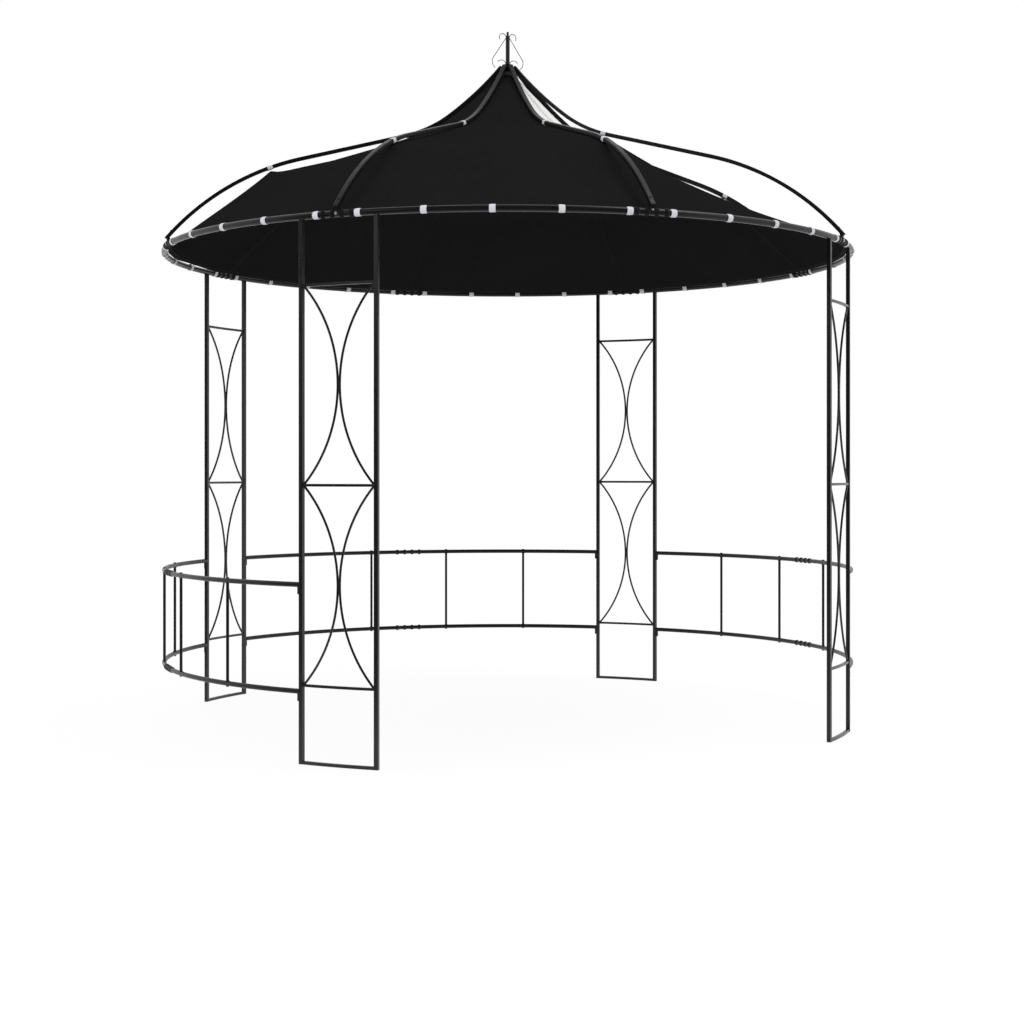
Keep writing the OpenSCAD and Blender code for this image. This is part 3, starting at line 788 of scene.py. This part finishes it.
paints = {
    "post": powder_coat("post_powder_coat", (0.0075, 0.0077, 0.0080), rough=0.30, gloss=0.45, corner=0.0025),
    "ring": powder_coat("ring_powder_coat", (0.0070, 0.0071, 0.0075), rough=0.29, gloss=0.25),
    "joint": powder_coat("joint_powder_coat", (0.0060, 0.0061, 0.0065), rough=0.29, gloss=0.22,
                         dull_beads=True),
    "rib": powder_coat("rib_powder_coat", (0.0065, 0.0066, 0.0068), rough=0.34, gloss=0.14, corner=0.0060),
    "railing": powder_coat("railing_powder_coat", (0.0075, 0.0077, 0.0080), rough=0.32, gloss=0.25),
    "top": powder_coat("top_powder_coat", (0.0170, 0.0172, 0.0180), rough=0.36, gloss=0.35),
    "hub": powder_coat("hub_powder_coat", (0.0060, 0.0061, 0.0065), rough=0.60, gloss=0.04),
}


def paint_for(name):
    """The paint of a node, by its name."""
    if "post" in name:
        return paints["post"]
    if "railing" in name:
        return paints["railing"]
    if name.startswith("ring_joint"):
        return paints["joint"]
    if name.startswith("ring"):
        return paints["ring"]
    if name.startswith("rib"):
        return paints["rib"]
    return paints["hub" if name == "roof_hub" else "top"]


cloth_finish = woven_cloth("black_roof_cloth")
tape_finish = binding_tape("black_binding_tape", (0.0100, 0.0100, 0.0101))
for name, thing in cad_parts.items():
    finish = cloth_finish if name == "canopy" else paint_for(name)
    if not thing.material_slots:
        thing.data.materials.append(finish)
    for slot in thing.material_slots:
        slot.material = finish

# ---------------------------------------------------------------- pieces
cloth_mid = softened(cloth_surface(ROWS, TURNS))
cloth_n = normals_of(cloth_mid)
roof = make_cloth(cloth_mid, cloth_n, cloth_finish)
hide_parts("canopy")

# The hem: a tape folded over the edge of the cloth.
points, faces, uv = edge_tape(cloth_mid[0], cloth_mid[1], cloth_n[0],
                              back=0.0100, wide=0.0215, thick=CLOTH + 0.0016)
hem = piece("canopy_hem", points, faces[:, ::-1], tape_finish, uv[:, ::-1])

# The top binding: a narrow grey tape round the hole.
points, faces, uv = edge_tape(cloth_mid[-1], cloth_mid[-2], cloth_n[-1],
                              back=0.0028, wide=0.0064, thick=CLOTH + 0.0022)
grey_tape = binding_tape("grey_binding_tape", (0.075, 0.075, 0.078))
top_hem = piece("canopy_top_binding", points, faces, grey_tape, uv)

# The seams: a tape under the cloth along each rib.
tapes = [seam_tape(cloth_mid, cloth_n, BAY_CELLS * i) for i in range(8)]
seams = copies("canopy_seams", [grid for grid, _, _ in tapes], tapes[0][1], tape_finish,
               np.concatenate([uv for _, _, uv in tapes]))
make_straps(webbing("lilac_webbing"))

# A domed head on a washer, as (radius, height) from its top to its foot, just under the surface.
HEAD = np.array([(0.0, 0.0042), (0.0016, 0.0041), (0.0032, 0.0034), (0.0040, 0.0026), (0.0044, 0.0010),
                 (0.0044, 0.0006), (0.0062, 0.0006), (0.0064, 0.0003), (0.0064, -0.0006), (0.0, -0.0006)])

# The ring joints' bolts point outwards, a little up. The front one is turned further up.
joints = BAY * np.arange(8)
tilt = np.radians(np.where(joints == 270, 46.0, 3.0))
axes = polar(np.cos(tilt), joints, np.sin(tilt))
make_heads("ring_joint_bolts", HEAD, polar(RING, joints, EAVES) + axes * (TUBE - 0.0002), axes,
           zinc("bright_zinc"))

# The rib feet's screws are small and flat, square to the rib.
screw_r = RING - 0.012
screw_z, screw_slope = rib_line(screw_r)
outward = polar(1.0, joints, 0.0) * np.sin(screw_slope) + UP * np.cos(screw_slope)
make_heads("rib_foot_screws", HEAD * [0.8, 0.45], polar(screw_r, joints, screw_z) + outward * RIB_THICK / 2,
           outward, paints["joint"])

# The rail ends' screws face outwards on the plates under the rails, beside the legs.
plate_face, plate_down, past_leg = 0.006, 0.014, 0.002
places, axes = [], []
for bay in RAIL_BAYS:
    for s in (-1, 1):
        for z in RAILS:
            a = bay + s * (45 - HALF)
            aside = polar(1.0, a + 90, 0.0) * -s * (LEG / 2 + past_leg)
            places.append(polar(RING + plate_face, a, z - RAIL - plate_down) + aside)
            axes.append(polar(1.0, a, 0.0))
make_heads("railing_screws", HEAD * 0.62, places, axes, paints["railing"])
make_welds(paints["post"])


# ---------------------------------------------------------------- floor, light and camera
def white_floor(name):
    """White paper: a matt light grey. To the camera and in reflections it is a dim grey with a glow of
    its own, so that it shows white as the studio does, and keeps a faint shadow."""
    light_grey, dim_grey, own_glow = (0.86, 0.86, 0.86), (0.16, 0.16, 0.16), 0.88
    f = Finish(name)
    f.tree.nodes.remove(f.shader)
    rays = f.node("ShaderNodeLightPath").outputs
    seen = f.math("MAXIMUM", rays["Is Camera Ray"], rays["Is Glossy Ray"])
    paper = f.node("ShaderNodeBsdfDiffuse")
    f.join(f.mixed(seen, light_grey, dim_grey), paper.inputs["Color"])
    glow = f.node("ShaderNodeEmission")
    f.join(f.math("MULTIPLY", seen, own_glow), glow.inputs["Strength"])
    both = f.node("ShaderNodeAddShader")
    f.join(paper.outputs[0], both.inputs[0])
    f.join(glow.outputs[0], both.inputs[1])
    f.join(both.outputs[0], f.tree.nodes["Material Output"].inputs["Surface"])
    return f.material


floor_reach, floor_z = 60, -0.0005
side = np.linspace(-floor_reach, floor_reach, 3)
floor_x, floor_y = np.meshgrid(side, side, indexing="ij")
floor_points = np.stack([floor_x, floor_y, 0 * floor_x + floor_z], -1)
plain_mesh("studio_floor", floor_points, cells(3, 3)[0][:, ::-1], white_floor("pale_floor"))

# The world is white to the camera, in reflections and through glass, and a little dimmer as a light.
world = bpy.data.worlds.new("white_studio")
world.use_nodes = True
bpy.context.scene.world = world
nodes = world.node_tree.nodes
sky = nodes["Background"]
sky.inputs["Color"].default_value = (1, 1, 1, 1)
rays = nodes.new("ShaderNodeLightPath").outputs
in_mirror = nodes.new("ShaderNodeMath")
in_mirror.operation = "MAXIMUM"
in_glass = nodes.new("ShaderNodeMath")
in_glass.operation = "MAXIMUM"
level = nodes.new("ShaderNodeMapRange")
level.inputs["To Min"].default_value = 0.82
level.inputs["To Max"].default_value = 1.0
for a, b in ((rays["Is Camera Ray"], in_mirror.inputs[0]),
             (rays["Is Glossy Ray"], in_mirror.inputs[1]),
             (in_mirror.outputs[0], in_glass.inputs[0]),
             (rays["Is Transmission Ray"], in_glass.inputs[1]),
             (in_glass.outputs[0], level.inputs["Value"]),
             (level.outputs["Result"], sky.inputs["Strength"])):
    world.node_tree.links.new(a, b)


def softbox(name, place, target, wide, power):
    """A square lamp at a place, turned to a target."""
    lamp = bpy.data.lights.new(name, "AREA")
    lamp.size = wide
    lamp.energy = power
    thing = bpy.data.objects.new(name, lamp)
    thing.location = place
    thing.rotation_euler = (Vector(target) - Vector(place)).to_track_quat("-Z", "Y").to_euler()
    bpy.context.scene.collection.objects.link(thing)


softbox("key_softbox", place=(3.0, -2.2, 7.8), target=(0, 0, 1.2), wide=2.4, power=85.0)
softbox("left_softbox", place=(-6.8, -3.4, 4.2), target=(0, 0, 1.4), wide=2.6, power=50.0)

# A dark scoop on the camera's side, seen only in reflections, so that painted fronts reflect dark
# and their edges reflect the white studio. Its section, as (radius, height), runs over the floor, up
# and back overhead.
scoop_dark = Finish("dark_scoop")
scoop_dark.set(Base_Color=(0.02, 0.02, 0.02, 1), Roughness=1.0, Specular_IOR_Level=0.0)
section = np.array([(2.7, 0.02), (6.0, 0.02), (9.0, 0.3), (10.0, 2.0),
                    (10.0, 6.0), (9.0, 8.5), (6.5, 9.6), (0.8, 9.8)])
arc = np.linspace(178.0, 299.0, 38)
scoop = plain_mesh("dark_scoop", polar(section[None, :, 0], arc[:, None], section[None, :, 1]),
                   cells(len(arc), len(section))[0], scoop_dark.material)
scoop.visible_camera = False
scoop.visible_diffuse = False
scoop.visible_shadow = False
scoop.visible_transmission = False

# The camera stands level to the left of the front bay's middle, and sees the gazebo from below its eaves.
away, tall = 7.674, 1.0682
turn = np.radians(20.42)
camera = bpy.data.cameras.new("studio_camera")
camera.sensor_width = 36.0
camera.sensor_fit = "HORIZONTAL"
camera.lens = 61.091015625
camera.shift_x = 0.0042
camera.shift_y = -0.0374
camera.clip_end = 200.0
eye = bpy.data.objects.new("studio_camera", camera)
eye.location = (-away * np.sin(turn), -away * np.cos(turn), tall)
eye.rotation_euler = (np.pi / 2, 0.0, -turn)
bpy.context.scene.collection.objects.link(eye)
bpy.context.scene.camera = eye
bpy.context.scene.view_settings.view_transform = "Standard"
